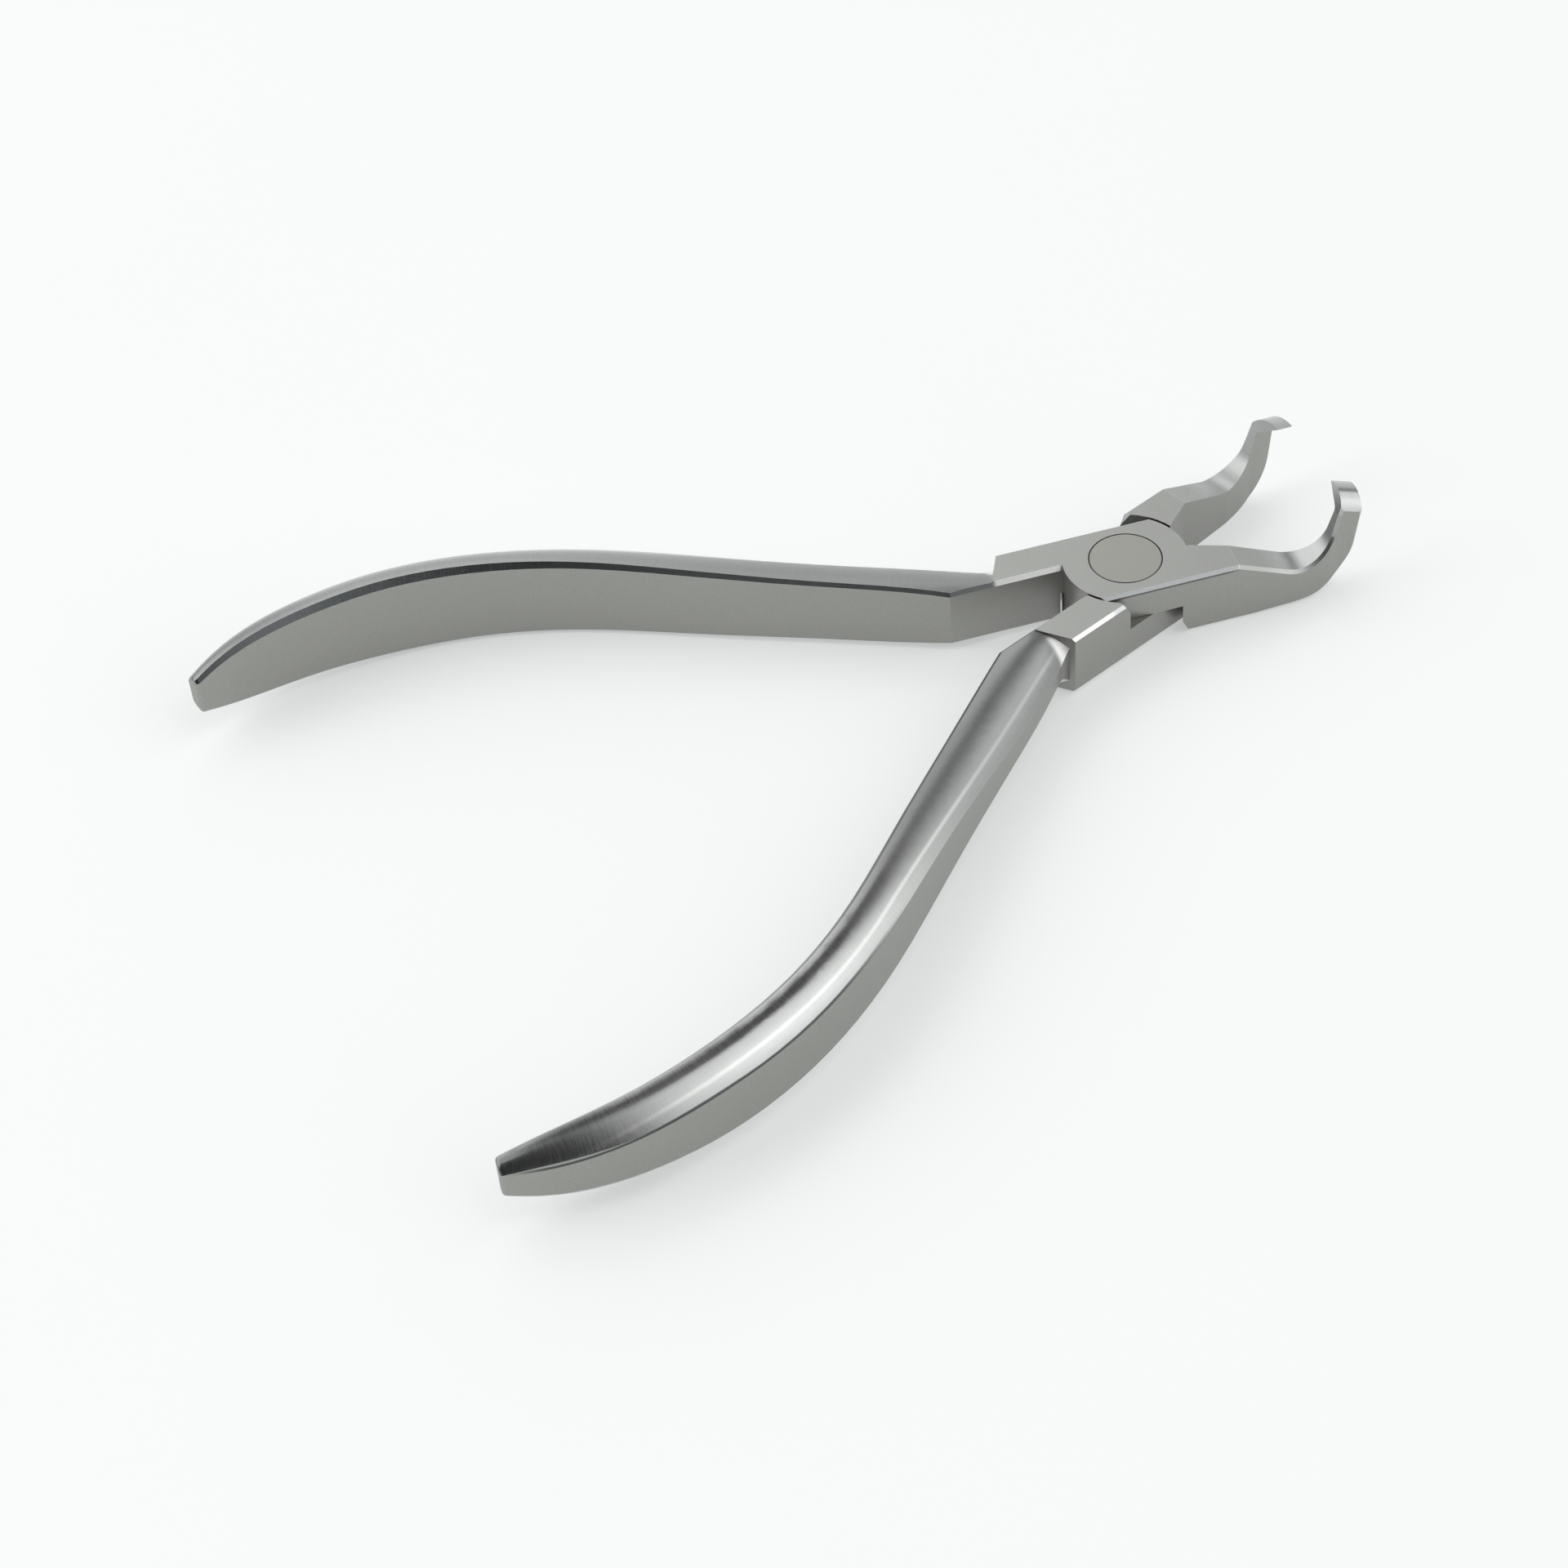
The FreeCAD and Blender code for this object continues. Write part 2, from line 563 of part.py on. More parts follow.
def half(label, side, upper):
    body = make_body(label)
    joint_blank(body, side)
    jaw_blank(body, side)
    jaw_outer_cut(body, side)
    outer_edges(body, side)
    jaw_inner_cut(body, side)
    lip_cuts(body, side)
    bow_handle(body, side)
    tail_end(body)
    lap_recess(body, upper)
    plate_relief(body, side, upper)
    joint_breaks(body, side, upper)
    turn = FreeCAD.Rotation(FreeCAD.Vector(0, 0, 1), -side * sheet.open_angle)
    body.Placement = FreeCAD.Placement(FreeCAD.Vector(0, 0, 0), turn)
    return body


def rivet_bores(upper_half, lower_half):
    """Running bore and counterbore in the upper half, tight bore and countersink in the lower."""
    head_depth = "rivet_head_height + plate_gap"
    head_bore = "rivet_head_radius + rivet_clearance"
    counterbore = circle_sketch(upper_half, "counterbore", head_bore, "joint_height")
    pocket(upper_half, counterbore, "counterbore_cut", head_depth)
    bore = circle_sketch(upper_half, "running_bore", "rivet_shank_radius + rivet_clearance", "joint_height")
    pocket(upper_half, bore, "running_bore_cut")
    bore = circle_sketch(lower_half, "tight_bore", "rivet_shank_radius", "0")
    pocket(lower_half, bore, "tight_bore_cut")
    sketch = new_sketch(lower_half, "countersink", "XZ_Plane")
    corners = [
        ("0", "0"),
        ("rivet_flare_radius", "0"),
        ("rivet_shank_radius", "rivet_flare_height"),
        ("0", "rivet_flare_height"),
    ]
    outline(sketch, corners)
    groove = lower_half.newObject("PartDesign::Groove", "countersink_cut")
    groove.Profile = sketch
    groove.ReferenceAxis = (sketch, ["V_Axis"])
    groove.Angle = 360
    doc.recompute()


def pivot_rivet():
    """Flush head, shank through both plates, peened end that fills the countersink."""
    body = make_body("pivot_rivet")
    sketch = new_sketch(body, "rivet_profile", "XZ_Plane")
    corners = [
        ("0", "0"),
        ("rivet_flare_radius", "0"),
        ("rivet_shank_radius", "rivet_flare_height"),
        ("rivet_shank_radius", "joint_height - rivet_head_height"),
        ("rivet_head_radius", "joint_height - rivet_head_height"),
        ("rivet_head_radius", "joint_height - rivet_rim_break"),
        ("rivet_head_radius - rivet_rim_break", "joint_height"),
        ("0", "joint_height"),
    ]
    outline(sketch, corners)
    revolution = body.newObject("PartDesign::Revolution", "rivet_turned")
    revolution.Profile = sketch
    revolution.ReferenceAxis = (sketch, ["V_Axis"])
    revolution.Angle = 360
    doc.recompute()
    return body


upper_half = half("upper_half", 1, True)
lower_half = half("lower_half", -1, False)
rivet_bores(upper_half, lower_half)
rivet = pivot_rivet()

doc.removeObject(probe.Name)
doc.recompute()
for item in doc.Objects:
    if any(state in ("Invalid", "Error") for state in item.State):
        raise RuntimeError(f"{item.Label} failed: {item.State}")

os.makedirs("parts", exist_ok=True)
for body in (upper_half, lower_half, rivet):
    if body.Shape.isNull() or not body.Shape.isValid() or len(body.Shape.Solids) != 1:
        raise RuntimeError(f"{body.Label} is not one valid solid")
    body.Shape.exportStep(f"parts/{body.Label}.step")
    print(body.Label, round(body.Shape.Volume, 1), body.Shape.BoundBox)
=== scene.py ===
import math

import bmesh
import bpy
from mathutils import Matrix, Vector

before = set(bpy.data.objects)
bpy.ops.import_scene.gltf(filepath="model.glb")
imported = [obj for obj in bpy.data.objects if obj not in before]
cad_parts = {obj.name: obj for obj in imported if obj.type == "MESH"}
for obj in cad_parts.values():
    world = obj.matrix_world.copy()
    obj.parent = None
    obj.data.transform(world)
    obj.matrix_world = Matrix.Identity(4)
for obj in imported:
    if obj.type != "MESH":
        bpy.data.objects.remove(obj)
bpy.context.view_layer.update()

# ---------------------------------------------------------------- a half's shape in its closed frame (mm, degrees)
OPEN_ANGLE = 12.4  # each half's turn from closed to the rest pose
JOINT_HEIGHT = 7.6
BLOCK_END = -14.6  # where the handle block ends and the handle begins
BEND = (-19.65, 0.95)  # start of the handle's straight run, on its inner face
HANDLE_SLOPE = 24.85
HANDLE_RUN = 38.25
BOW_RADIUS = 53.4
JAW_START = 11.0  # where the jaw begins to dip
LIP_START = 9.6  # height of the crease below the lip's polished back
EDGE_CHAMFER = 0.35
RIVET_RADIUS = 4.0

# ---------------------------------------------------------------- steel colours, darker and lighter end of each tone
TOP_FLAT = ((0.41, 0.414, 0.398, 1.0), (0.465, 0.465, 0.447, 1.0))
# the flat sides' colour is a darker copy of the top flats' colour: painted shade
SIDE_FLAT_PAINTED_SHADE = ((0.325, 0.327, 0.311, 1.0), (0.375, 0.375, 0.358, 1.0))
DULL_BRUSHED = ((0.342, 0.346, 0.342, 1.0), (0.39, 0.393, 0.39, 1.0))
BRIGHT_BRUSHED = ((0.56, 0.563, 0.562, 1.0), (0.62, 0.62, 0.612, 1.0))
RIVET_FACE = ((0.355, 0.352, 0.323, 1.0), (0.41, 0.406, 0.373, 1.0))
# bright tones of the broken edges: painted highlight over their rougher deburred finish
JOINT_EDGE_HIGHLIGHT = (0.66, 0.675, 0.685, 1.0)
BLOCK_EDGE_HIGHLIGHT = (0.93, 0.93, 0.92, 1.0)
# dark tone of the handles' inner chamfer: painted dark reflection
INNER_EDGE_SHADE = (0.20, 0.21, 0.215, 1.0)
# bright line along the crown's worn top: painted highlight, where use has also polished it
RIDGE_HIGHLIGHT = (0.90, 0.90, 0.885, 1.0)
# dark line where the crown meets the flat side: painted shade
CREASE_SHADE = (0.06, 0.06, 0.065, 1.0)
# dark line on the flat side just under the top edge's chamfer: painted shade
UNDER_EDGE_SHADE = (0.10, 0.10, 0.10, 1.0)
# dark tone on the crown towards the tail: painted dark reflection
DARK_TAIL_REFLECTION = (0.05, 0.052, 0.056, 1.0)
# dark ring on the rivet's rim: painted shade of the gap around its head
SEAM_SHADE = (0.04, 0.04, 0.042, 1.0)

# ---------------------------------------------------------------- steel finish
FLAT_ROUGH = 0.40
NEW_CROWN_ROUGH = 0.46
WORN_CROWN_ROUGH = 0.27
JAW_ROUGH = 0.34
EDGE_ROUGH = 0.50
LIP_ROUGH = 0.24
RIVET_ROUGH = 0.30
JAW_POLISH = 0.5
LIP_POLISH = 0.6
# how far use has brightened the crown of each handle, 0 to 1, which also sets how dark the painted dark reflection
# on its tail is
UPPER_POLISH_AND_TAIL_REFLECTION = 0.15
LOWER_POLISH_AND_TAIL_REFLECTION = 1.0

# ---------------------------------------------------------------- view (m, degrees) and light
AIM = Vector((-0.04794, -0.01059, 0.0076))
CAMERA_DISTANCE = 0.35902
CAMERA_AZIMUTH = -24.939
CAMERA_ELEVATION = 45.157
CAMERA_ROLL = -5.023
LENS = 80.5
UNDERSIDE_END = 0.013  # front end of the joint's underside, which the tool lies on
FLOOR_SIZE = 4.0
FLOOR_TONE = ((0.44, 0.449, 0.446, 1.0), (0.46, 0.465, 0.463, 1.0))
FLOOR_GLOW = 0.555
# the floor's glow is dimmed near the tool as painted shadow
SHELTERED_GLOW = 0.77  # part of the glow that is left where the tool shelters the floor
SHELTER_REACH = 0.02
STUDIO_WHITE = (0.985, 1.0, 0.995, 1.0)
ROOM_LEVEL = 0.05
# soft panels: middle azimuth and elevation, half width, half height and edge softness in degrees, and strength
PANELS = [
    (-35.0, 42.0, 45.0, 38.0, 8.0, 1.22),
    (-42.0, 38.0, 18.0, 16.0, 16.0, 0.50),
    (140.0, 34.0, 34.0, 24.0, 8.0, 1.60),
    (79.0, 43.0, 28.0, 15.0, 6.0, 1.05),
    (55.0, 8.0, 50.0, 20.0, 6.0, 0.85),
    (75.0, 50.0, 24.0, 7.0, 5.0, 0.80),
    (-35.0, 90.0, 180.0, 14.0, 10.0, 0.20),
]
# lamps that don't show in the steel: azimuth and elevation in degrees, distance and size in m, and strength
FILLS = [
    (160.0, 32.0, 1.1, 0.6, 2.2),
    (65.0, 80.0, 1.1, 1.6, 0.11),
]


class Net:
    """Short words for building a node tree."""

    def __init__(self, tree):
        self.tree = tree

    def node(self, kind, **settings):
        made = self.tree.nodes.new(kind)
        for name, value in settings.items():
            setattr(made, name, value)
        return made

    def plug(self, source, socket):
        """Set a socket to a plain value, or link an output to it."""
        if isinstance(source, (int, float, tuple)):
            socket.default_value = source
        else:
            self.tree.links.new(source, socket)

    def math(self, operation, *values, clamp=False):
        made = self.node("ShaderNodeMath", operation=operation, use_clamp=clamp)
        for index, value in enumerate(values):
            self.plug(value, made.inputs[index])
        return made.outputs[0]

    def product(self, first, *others):
        for other in others:
            first = self.math("MULTIPLY", first, other)
        return first

    def distance(self, value, middle):
        """How far a value is from a middle value, either way."""
        return self.math("ABSOLUTE", self.math("SUBTRACT", value, middle))

    def ramp(self, value, low, high, to_low=0.0, to_high=1.0):
        """Smooth step from one value to another as an input goes from low to high."""
        made = self.node("ShaderNodeMapRange", interpolation_type="SMOOTHSTEP")
        for index, item in enumerate((value, low, high, to_low, to_high)):
            self.plug(item, made.inputs[index])
        return made.outputs[0]

    def blend(self, factor, first, second):
        """Number between first and second."""
        made = self.node("ShaderNodeMix", data_type="FLOAT")
        for index, item in zip((0, 2, 3), (factor, first, second)):
            self.plug(item, made.inputs[index])
        return made.outputs[0]

    def blend_colour(self, factor, first, second, mode="MIX"):
        made = self.node("ShaderNodeMix", data_type="RGBA", blend_type=mode)
        for index, item in zip((0, 6, 7), (factor, first, second)):
            self.plug(item, made.inputs[index])
        return made.outputs[2]

    def vector(self, x, y, z):
        made = self.node("ShaderNodeCombineXYZ")
        for index, item in enumerate((x, y, z)):
            self.plug(item, made.inputs[index])
        return made.outputs[0]

    def stretched(self, *parts):
        """Vector of three parts, each with its own scale."""
        return self.vector(*[self.product(value, scale) for value, scale in parts])

    def split(self, vector):
        made = self.node("ShaderNodeSeparateXYZ")
        self.plug(vector, made.inputs[0])
        return made.outputs

    def noise(self, vector, scale, detail, rough):
        made = self.node("ShaderNodeTexNoise")
        self.plug(vector, made.inputs["Vector"])
        made.inputs["Scale"].default_value = scale
        made.inputs["Detail"].default_value = detail
        made.inputs["Roughness"].default_value = rough
        return made.outputs["Fac"]

    def swing(self, noise, amount):
        """Noise of 0 to 1 turned into a swing to both sides of 0."""
        return self.product(self.math("SUBTRACT", noise, 0.5), amount)

    def bump(self, height, strength, shader):
        """Relief in mm on a shader's normal."""
        made = self.node("ShaderNodeBump")
        made.inputs["Strength"].default_value = strength
        made.inputs["Distance"].default_value = 0.001
        self.plug(height, made.inputs["Height"])
        self.plug(made.outputs[0], shader.inputs["Normal"])


def new_material(name):
    material = bpy.data.materials.new(name)
    material.use_nodes = True
    material.node_tree.nodes.clear()
    net = Net(material.node_tree)
    shader = net.node("ShaderNodeBsdfPrincipled")
    output = net.node("ShaderNodeOutputMaterial")
    net.plug(shader.outputs[0], output.inputs[0])
    return material, net, shader


def turned_by(net, along, across, angle):
    """Two coordinates turned by an angle in radians."""
    cosine, sine = math.cos(angle), math.sin(angle)
    new_along = net.math("SUBTRACT", net.product(along, cosine), net.product(across, sine))
    new_across = net.math("ADD", net.product(along, sine), net.product(across, cosine))
    return new_along, new_across


def closed_frame(net, side):
    """Position (mm) and normal in the half's closed frame, mirrored so that both halves read alike."""
    texture = net.node("ShaderNodeTexCoord")
    result = []
    for source, scale in ((texture.outputs["Object"], 1000.0), (texture.outputs["Normal"], 1.0)):
        x, y, z = net.split(source)
        across = net.product(y, side * scale)
        along = net.product(x, scale)
        along, across = turned_by(net, along, across, math.radians(OPEN_ANGLE))
        result.append((along, across, net.product(z, scale)))
    return result


def handle_station(net, x, y):
    """Distance along the handle, distance across it and how far it has turned in the bow."""
    slope = math.radians(HANDLE_SLOPE)
    from_bend_x = net.math("SUBTRACT", BEND[0], x)
    from_bend_y = net.math("SUBTRACT", y, BEND[1])
    straight = net.math("ADD", net.product(from_bend_x, math.cos(slope)), net.product(from_bend_y, math.sin(slope)))
    straight_across = net.math("SUBTRACT", net.product(from_bend_y, math.cos(slope)),
                               net.product(from_bend_x, math.sin(slope)))
    centre_x = BEND[0] - HANDLE_RUN * math.cos(slope) - BOW_RADIUS * math.sin(slope)
    centre_y = BEND[1] + HANDLE_RUN * math.sin(slope) - BOW_RADIUS * math.cos(slope)
    out_x = net.math("SUBTRACT", centre_x, x)
    out_y = net.math("SUBTRACT", y, centre_y)
    radius = net.math("SQRT", net.math("ADD", net.product(out_x, out_x), net.product(out_y, out_y)))
    turned = net.math("ADD", net.math("ARCTAN2", out_x, out_y), slope)
    bow = net.math("ADD", net.product(turned, BOW_RADIUS), HANDLE_RUN)
    on_bow = net.math("GREATER_THAN", straight, HANDLE_RUN)
    station = net.blend(on_bow, straight, bow)
    across = net.blend(on_bow, straight_across, net.math("SUBTRACT", radius, BOW_RADIUS))
    return station, across, net.product(turned, on_bow)


def brush_direction(net, on_handle, turned, side):
    """Direction along the handle or the jaw, which the grinding marks run across."""
    lean = net.product(on_handle, net.math("SUBTRACT", math.radians(HANDLE_SLOPE), turned))
    lean = net.math("ADD", lean, math.radians(OPEN_ANGLE))
    along = net.product(net.math("COSINE", lean), -1.0)
    across = net.product(net.math("SINE", lean), float(side))
    move = net.node("ShaderNodeVectorTransform", vector_type="VECTOR", convert_from="OBJECT", convert_to="WORLD")
    net.plug(net.vector(along, across, 0.0), move.inputs[0])
    return move.outputs[0]


def crease_distance(net, station, z):
    """Height between a point and the crease where the handle's crown meets its flat outer side."""
    rise = net.ramp(station, 8.0, 42.0, 1.35, 3.12)
    fall = net.ramp(station, 62.0, 86.0, 0.0, 1.6)
    height = net.math("ADD", net.math("SUBTRACT", rise, fall), JOINT_HEIGHT / 2)
    return net.distance(z, height)


class Half:
    """Where a point of a forging is: masks of 0 to 1 for its regions, and its noises.

    The limits in the ramps are in mm, or parts of a unit normal.
    """

    def __init__(self, net, side):
        (x, y, z), (nx, ny, nz) = closed_frame(net, side)
        self.station, across, turned = handle_station(net, x, y)
        self.steep = steep = net.math("ABSOLUTE", nz)

        on_handle = net.ramp(x, BLOCK_END + 0.4, BLOCK_END - 0.4)
        on_jaw = net.ramp(x, JAW_START - 0.1, JAW_START + 0.3)
        self.on_block = net.ramp(x, -6.5, -7.5)
        self.worn = net.ramp(self.station, 18.0, 52.0)
        self.crown = net.product(on_handle, net.ramp(steep, 0.28, 0.42))
        facing = net.math("MAXIMUM", net.ramp(nz, 0.15, 0.35), net.ramp(nx, -0.35, -0.55))
        self.jaw_back = net.product(net.ramp(x, JAW_START + 1.0, JAW_START + 5.5), facing)
        above_jaw = net.ramp(z, LIP_START, LIP_START + 0.4)
        self.lip = net.product(on_jaw, above_jaw, net.ramp(nz, 0.05, 0.2))
        slanted = net.product(net.ramp(steep, 0.25, 0.4), net.ramp(steep, 0.97, 0.9))
        elsewhere = net.product(net.math("SUBTRACT", 1.0, on_handle), net.math("SUBTRACT", 1.0, on_jaw))
        self.bevel = net.product(elsewhere, slanted)
        # the inner chamfer's dark tone is a painted dark reflection
        self.inner_edge_shade = net.product(on_handle, net.ramp(ny, -0.45, -0.6), net.ramp(steep, 0.35, 0.5))

        # bright line along the crown: painted highlight on a line that use has polished
        off_ridge = net.distance(across, net.ramp(self.station, -8.0, 46.0, 5.1, 3.5))
        ridge_highlight_strength = net.ramp(self.station, 8.0, 36.0, 0.2, 0.5)
        self.ridge_highlight = net.product(self.crown, net.ramp(off_ridge, 0.28, 0.02), ridge_highlight_strength)
        # dark line along the crease between crown and flat side: painted shade
        crease = net.product(net.ramp(crease_distance(net, self.station, z), 0.24, 0.10), net.ramp(across, 2.0, 3.0))
        self.crease = net.product(crease, net.ramp(self.station, 34.0, 50.0), 0.9)
        # dark line just under the top edge's chamfer: painted shade
        below_edge = net.distance(z, JOINT_HEIGHT - EDGE_CHAMFER - 0.12)
        flat_side = net.product(net.ramp(below_edge, 0.17, 0.07), net.ramp(ny, -0.6, -0.8))
        self.under_edge_shade = net.product(flat_side, net.ramp(x, -6.0, -4.0), net.ramp(x, 11.5, 9.5), 0.8)

        place = net.vector(x, y, z)
        self.cloud = net.noise(place, scale=0.22, detail=3.0, rough=0.55)
        grain = net.noise(place, scale=4.5, detail=2.0, rough=0.7)
        along_handle = net.stretched((self.station, 7.0), (across, 0.45), (z, 0.45))
        brushed = net.noise(along_handle, scale=1.0, detail=3.0, rough=0.65)
        self.ground = net.noise(net.stretched((x, 0.4), (y, 0.4), (z, 6.0)), scale=1.0, detail=2.0, rough=0.5)
        up_jaw = net.math("ADD", x, net.product(z, 0.6))
        along_jaw = net.vector(net.product(up_jaw, 5.0), net.product(y, 0.5), 0.0)
        jaw_brushed = net.noise(along_jaw, scale=1.0, detail=2.0, rough=0.6)
        self.streak = net.blend(self.crown, net.blend(self.jaw_back, grain, jaw_brushed), brushed)
        self.brush_way = brush_direction(net, on_handle, turned, side)


def half_roughness(net, half):
    """Roughness of each region, with a swing along the grinding marks and a slow drift."""
    crown_rough = net.blend(half.worn, NEW_CROWN_ROUGH, WORN_CROWN_ROUGH)
    roughness = net.blend(half.crown, FLAT_ROUGH, crown_rough)
    for region, rough in ((half.jaw_back, JAW_ROUGH), (half.bevel, EDGE_ROUGH), (half.lip, LIP_ROUGH)):
        roughness = net.blend(region, roughness, rough)
    marks = net.swing(half.streak, net.blend(half.jaw_back, 0.16, 0.08))
    drift = net.swing(half.cloud, 0.10)
    return net.math("ADD", roughness, net.math("ADD", marks, drift), clamp=True)


def half_colour(net, half, polish_and_tail_reflection):
    """Blasted flats with painted shade on their sides, brushed crowns and jaws, and thin lines of painted highlight
    and painted shade on the edges, each over the last, then a painted dark reflection on the tail.
    """
    tone = net.math("ADD", net.swing(half.cloud, 0.5), 0.5)
    top_flat, side_flat_painted_shade, dull, bright = [
        net.blend_colour(tone, *ends) for ends in (TOP_FLAT, SIDE_FLAT_PAINTED_SHADE, DULL_BRUSHED, BRIGHT_BRUSHED)]
    # sides darker than tops: painted shade
    flat = net.blend_colour(net.ramp(half.steep, 0.3, 0.8), side_flat_painted_shade, top_flat)
    jaw_polish = net.math("MAXIMUM", net.product(half.jaw_back, JAW_POLISH), net.product(half.lip, LIP_POLISH))
    polished = net.math("MAXIMUM", net.product(half.worn, polish_and_tail_reflection), jaw_polish)
    brushed = net.blend_colour(polished, dull, bright)
    is_brushed = net.math("MAXIMUM", net.math("MAXIMUM", half.crown, half.jaw_back), half.lip)
    colour = net.blend_colour(is_brushed, flat, brushed)
    # the broken edges' bright tone is painted highlight over their rougher deburred finish
    edge_highlight_tone = net.blend_colour(half.on_block, JOINT_EDGE_HIGHLIGHT, BLOCK_EDGE_HIGHLIGHT)
    lines = ((half.bevel, edge_highlight_tone), (half.inner_edge_shade, INNER_EDGE_SHADE), (half.ridge_highlight, RIDGE_HIGHLIGHT),
             (half.crease, CREASE_SHADE), (half.under_edge_shade, UNDER_EDGE_SHADE))
    for region, line_tone in lines:
        colour = net.blend_colour(region, colour, line_tone)
    streaks = net.ramp(half.streak, 0.3, 0.7, 0.95, 1.04)
    colour = net.blend_colour(1.0, colour, net.vector(streaks, streaks, streaks), "MULTIPLY")
    # crown darkened towards the tail: painted dark reflection
    tail_reflection = net.product(half.crown, net.ramp(half.station, 66.0, 80.0, 0.0, 0.25 + 0.35 * polish_and_tail_reflection))
    return net.blend_colour(tail_reflection, colour, DARK_TAIL_REFLECTION)


def half_material(name, side, polish_and_tail_reflection):
    """Forged stainless steel: blasted joint, brushed handle crowns, fine-ground flats and polished lip.

    The side is 1 for the upper half and -1 for the lower, its mirror image.
    """
    material, net, shader = new_material(name)
    half = Half(net, side)
    net.plug(half_roughness(net, half), shader.inputs["Roughness"])
    brushing = net.product(net.math("MAXIMUM", half.crown, half.jaw_back), net.blend(half.worn, 0.55, 0.9))
    net.plug(brushing, shader.inputs["Anisotropic"])
    net.plug(half.brush_way, shader.inputs["Tangent"])
    net.plug(half_colour(net, half, polish_and_tail_reflection), shader.inputs["Base Color"])
    shader.inputs["Metallic"].default_value = 1.0
    depth = net.blend(half.jaw_back, net.blend(half.crown, 0.004, 0.0045), 0.0015)
    relief = net.math("ADD", net.swing(half.streak, depth), net.swing(half.ground, 0.002))
    net.bump(relief, 0.6, shader)
    return material


def rivet_material(name):
    """Rivet faced flush with the joint: fine turning rings under a light blasted finish, with painted shade of the
    gap around its head on its rim.
    """
    material, net, shader = new_material(name)
    place = net.node("ShaderNodeTexCoord").outputs["Object"]
    x, y, _ = net.split(place)
    radius = net.math("SQRT", net.math("ADD", net.product(x, x), net.product(y, y)))
    radius = net.product(radius, 1000.0)
    rings = net.noise(net.vector(radius, 0.0, 0.0), scale=6.0, detail=2.0, rough=0.5)
    grain = net.noise(place, scale=9000.0, detail=3.0, rough=0.6)
    cloud = net.noise(place, scale=300.0, detail=2.0, rough=0.5)
    mixed = net.math("ADD", net.product(rings, 0.3), net.product(grain, 0.7))
    net.plug(net.math("ADD", net.product(mixed, 0.14), RIVET_ROUGH), shader.inputs["Roughness"])
    tone = net.math("ADD", net.product(cloud, 0.5), net.product(mixed, 0.5))
    colour = net.blend_colour(tone, *RIVET_FACE)
    # dark ring on the rim: painted shade of the gap around the head
    seam_shade = net.product(net.ramp(radius, RIVET_RADIUS - 0.14, RIVET_RADIUS - 0.08), 0.9)
    net.plug(net.blend_colour(seam_shade, colour, SEAM_SHADE), shader.inputs["Base Color"])
    shader.inputs["Metallic"].default_value = 1.0
    net.bump(net.swing(mixed, 0.004), 0.5, shader)
    return material


def dress(node, material):
    """Give every slot of a CAD node the same finish."""
    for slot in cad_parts[node].material_slots:
        slot.material = material


# ---------------------------------------------------------------- stage
def rest_slope():
    """Tilt of the surface that the tool lies on: it touches the bows and the front of the joint's underside."""
    steepest = 0.0
    for node in ("upper_half", "lower_half"):
        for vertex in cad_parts[node].data.vertices:
            drop, run = -vertex.co.z, UNDERSIDE_END - vertex.co.x
            if drop > 0 and run > 0:
                steepest = max(steepest, math.atan2(drop, run))
    return steepest


def floor_material(name):
    """Matt white that glows by itself, with painted shadow: the glow is a little less where the tool shelters it."""
    material, net, shader = new_material(name)
    texture = net.node("ShaderNodeTexCoord")
    soft = net.noise(texture.outputs["Object"], scale=12.0, detail=2.0, rough=0.5)
    net.plug(net.blend_colour(soft, *FLOOR_TONE), shader.inputs["Base Color"])
    shader.inputs["Roughness"].default_value = 0.8
    shader.inputs["Specular IOR Level"].default_value = 0.1
    shader.inputs["Emission Color"].default_value = STUDIO_WHITE
    # ambient occlusion dims the glow near the tool: painted shadow
    shelter = net.node("ShaderNodeAmbientOcclusion", samples=8)
    shelter.inputs["Distance"].default_value = SHELTER_REACH
    open_part = net.ramp(shelter.outputs["AO"], 0.1, 1.0, SHELTERED_GLOW, 1.0)
    net.plug(net.product(open_part, FLOOR_GLOW), shader.inputs["Emission Strength"])
    return material


def floor():
    mesh = bpy.data.meshes.new("floor")
    shape = bmesh.new()
    bmesh.ops.create_grid(shape, x_segments=1, y_segments=1, size=FLOOR_SIZE / 2)
    shape.to_mesh(mesh)
    shape.free()
    piece = bpy.data.objects.new("floor", mesh)
    bpy.context.collection.objects.link(piece)
    piece.rotation_euler = (0.0, -rest_slope(), 0.0)
    piece.location = Vector((UNDERSIDE_END, 0.0, 0.0))
    mesh.materials.append(floor_material("floor_white"))


def direction(azimuth, elevation):
    """Unit vector from the object, azimuth counted from +X towards +Y."""
    a, e = math.radians(azimuth), math.radians(elevation)
    return Vector((math.cos(a) * math.cos(e), math.sin(a) * math.cos(e), math.sin(e)))


def softbox(net, azimuth, elevation, turn, rise, half_turn, half_rise, soft):
    """Part of the studio's sky that a soft panel covers, 0 to 1, from its middle and half sizes in degrees."""
    off = net.math("SUBTRACT", azimuth, turn)
    around = net.math("ABSOLUTE", net.math("WRAP", off, 180.0, -180.0))
    upright = net.distance(elevation, rise)
    wide = net.ramp(around, half_turn + soft, half_turn - soft)
    tall = net.ramp(upright, half_rise + soft, half_rise - soft)
    return net.product(wide, tall)


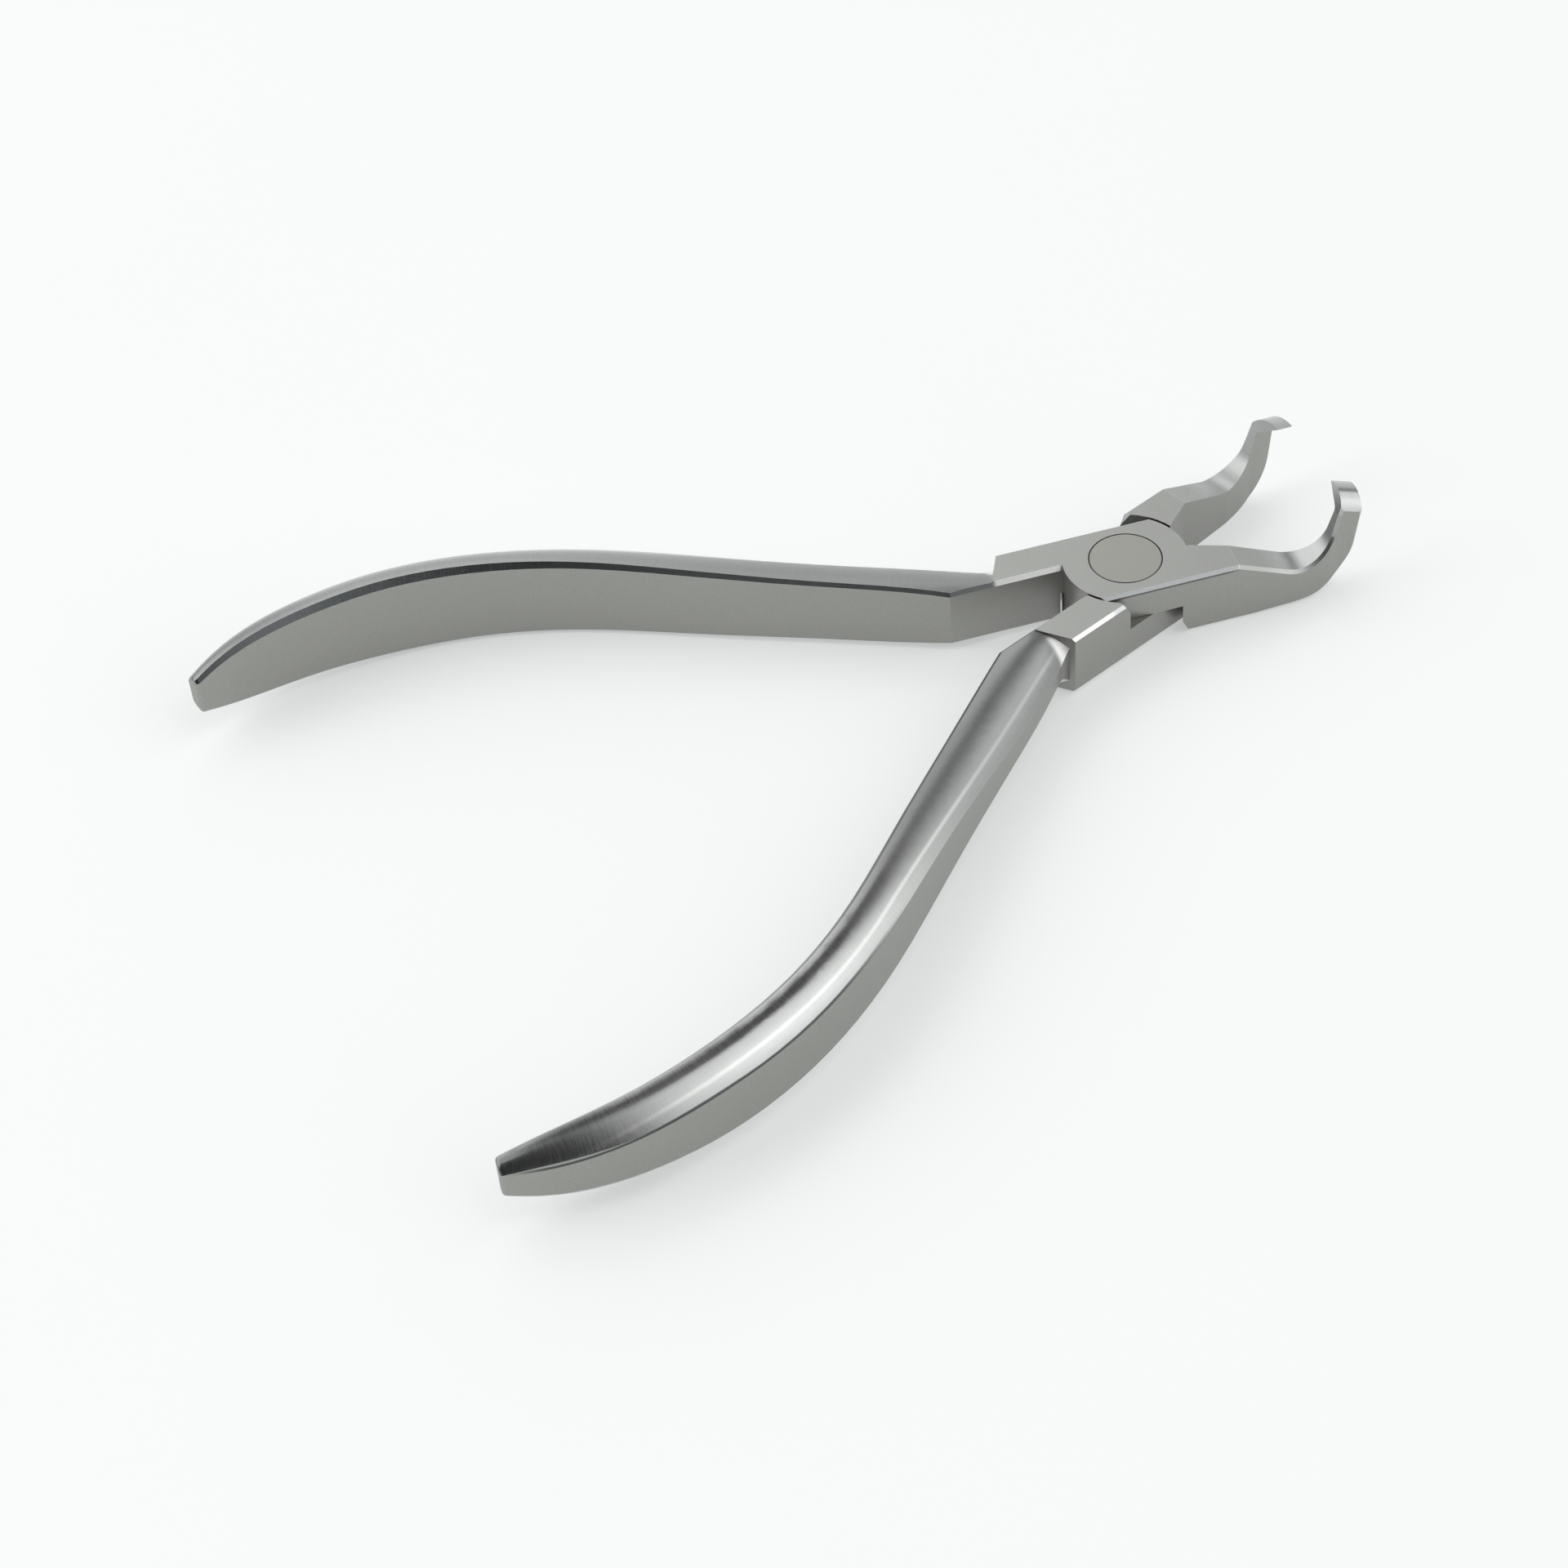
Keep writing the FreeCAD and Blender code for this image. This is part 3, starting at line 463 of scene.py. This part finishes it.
def studio():
    """Dark room with soft panels in its sky."""
    world = bpy.data.worlds.new("studio")
    bpy.context.scene.world = world
    world.use_nodes = True
    net = Net(world.node_tree)
    background = world.node_tree.nodes["Background"]
    texture = net.node("ShaderNodeTexCoord")
    x, y, z = net.split(texture.outputs["Generated"])
    azimuth = net.math("DEGREES", net.math("ARCTAN2", y, x))
    elevation = net.math("DEGREES", net.math("ARCSINE", z))
    level = ROOM_LEVEL
    for *shape, strength in PANELS:
        light = net.product(softbox(net, azimuth, elevation, *shape), strength)
        level = net.math("ADD", light, level)
    net.plug(level, background.inputs["Strength"])
    background.inputs["Color"].default_value = STUDIO_WHITE


def floor_lamps():
    """Lamps that only brighten the floor, because the steel's reflections leave them out."""
    for number, (turn, rise, distance, size, strength) in enumerate(FILLS, start=1):
        lamp = bpy.data.lights.new(f"floor_fill_{number}", "AREA")
        lamp.shape = "SQUARE"
        lamp.size = size
        lamp.energy = strength * math.pi * size ** 2
        piece = bpy.data.objects.new(f"floor_fill_{number}", lamp)
        bpy.context.collection.objects.link(piece)
        way = direction(turn, rise)
        piece.location = AIM + way * distance
        piece.rotation_mode = "QUATERNION"
        piece.rotation_quaternion = way.to_track_quat("Z", "Y")
        piece.visible_glossy = False


def camera():
    lens = bpy.data.cameras.new("camera")
    lens.lens = LENS
    lens.sensor_width = 36.0
    lens.clip_start, lens.clip_end = 0.01, 20.0
    piece = bpy.data.objects.new("camera", lens)
    bpy.context.collection.objects.link(piece)
    back = direction(CAMERA_AZIMUTH - 90.0, CAMERA_ELEVATION)
    right = Vector((0.0, 0.0, 1.0)).cross(back).normalized()
    up = back.cross(right)
    level = Matrix((right, up, back)).transposed()
    roll = Matrix.Rotation(math.radians(CAMERA_ROLL), 3, "Z")
    piece.matrix_world = Matrix.Translation(AIM + back * CAMERA_DISTANCE) @ (level @ roll).to_4x4()
    bpy.context.scene.camera = piece


camera()
floor()
studio()
floor_lamps()
dress("upper_half", half_material("steel_upper", 1, UPPER_POLISH_AND_TAIL_REFLECTION))
dress("lower_half", half_material("steel_lower", -1, LOWER_POLISH_AND_TAIL_REFLECTION))
dress("pivot_rivet", rivet_material("steel_rivet"))
bpy.context.scene.view_settings.view_transform = "Standard"
